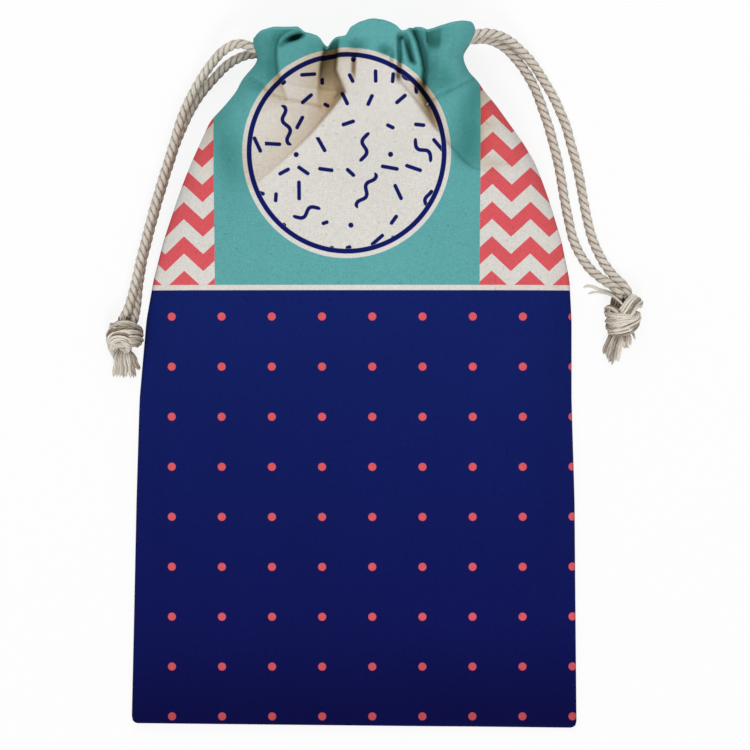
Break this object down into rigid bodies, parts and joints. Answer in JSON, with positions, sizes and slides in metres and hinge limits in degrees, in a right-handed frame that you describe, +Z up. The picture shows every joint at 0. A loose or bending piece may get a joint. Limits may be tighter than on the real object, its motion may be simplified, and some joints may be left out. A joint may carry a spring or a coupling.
{
  "type": "drawstring pouch",
  "caption": "Flat canvas pouch of sewn front and back panels, gathered at the mouth by twisted cotton cords that run through hemmed casings and end in tied knots with frayed tassels.",
  "frame": {"origin": "middle of the pouch's outline, without its cords, on the surface that it lies on", "axes": "+X to the pouch's right seen from the front, +Y towards the mouth, +Z up through the front panel"},
  "size_m": [0.2375, 0.3179, 0.0333],
  "materials": {
    "front_canvas": "matt plain-weave canvas, printed with flat colour fields, chevrons and dots",
    "back_canvas": "matt plain-weave canvas, printed with flat colour fields, chevrons and dots",
    "cotton_cord": "undyed three-strand twisted cotton",
    "cotton_yarn": "undyed loose cotton yarn"
  },
  "bodies": {
    "root": {"front_panel": "front_canvas", "back_panel": "back_canvas", "left_cord_run": "cotton_cord", "left_cord_front_end": "cotton_cord", "left_cord_back_end": "cotton_cord", "left_knot": "cotton_cord", "left_tassel": "cotton_yarn", "right_cord_run": "cotton_cord", "right_cord_front_end": "cotton_cord", "right_cord_back_end": "cotton_cord", "right_knot": "cotton_cord", "right_tassel": "cotton_yarn"}
  },
  "joints": []
}
